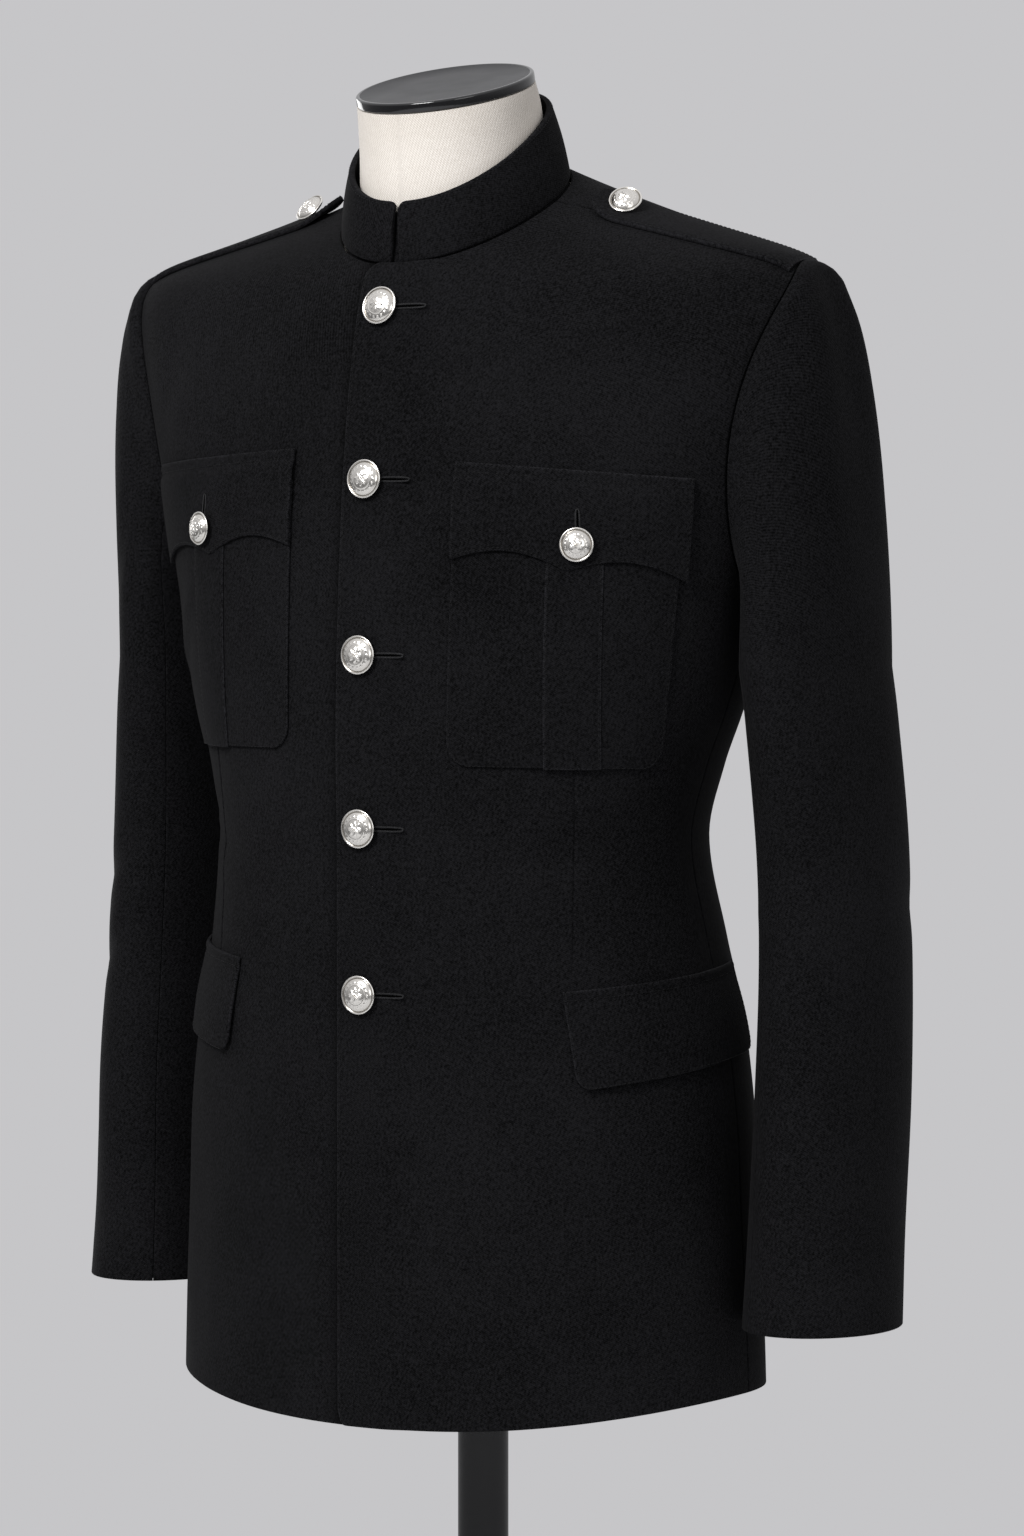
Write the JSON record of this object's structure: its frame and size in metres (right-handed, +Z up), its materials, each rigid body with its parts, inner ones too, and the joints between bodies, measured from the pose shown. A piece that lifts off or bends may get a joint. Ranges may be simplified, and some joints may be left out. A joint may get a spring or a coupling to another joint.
{
  "type": "military dress jacket on a dress form stand",
  "caption": "Tailored stand-collar dress jacket in near-black wool, with patch and flapped pockets, shoulder straps and silver buttons, on a limbless dress form with a pole stand",
  "frame": {"origin": "on the pole's axis at the underside of the base", "axes": "+Z up the pole, the jacket faces -Y and the wearer's left is +X"},
  "size_m": [0.58, 0.36, 1.4902],
  "materials": {
    "wool": "near-black wool barathea with a fine diagonal rib and a soft nap",
    "silver": "polished silver plate on die-struck domed buttons",
    "linen": "cream linen stretched over the form",
    "satin_black": "satin dark grey",
    "gloss_black": "gloss black enamel"
  },
  "bodies": {
    "root": {"front_left": "wool", "front_right": "wool", "back_left": "wool", "back_right": "wool", "top_sleeve_left": "wool", "top_sleeve_right": "wool", "under_sleeve_left": "wool", "under_sleeve_right": "wool", "collar": "wool", "breast_pocket_left": "wool", "breast_pocket_right": "wool", "pocket_pleat_left": "wool", "pocket_pleat_right": "wool", "breast_flap_left": "wool", "breast_flap_right": "wool", "hip_flap_left": "wool", "hip_flap_right": "wool", "shoulder_strap_left": "wool", "shoulder_strap_right": "wool", "front_button_1": "silver", "front_button_2": "silver", "front_button_3": "silver", "front_button_4": "silver", "front_button_5": "silver", "pocket_button_left": "silver", "pocket_button_right": "silver", "strap_button_left": "silver", "strap_button_right": "silver", "form_torso": "linen", "neck_cap": "satin_black", "pole": "gloss_black", "base": "gloss_black"}
  },
  "joints": []
}
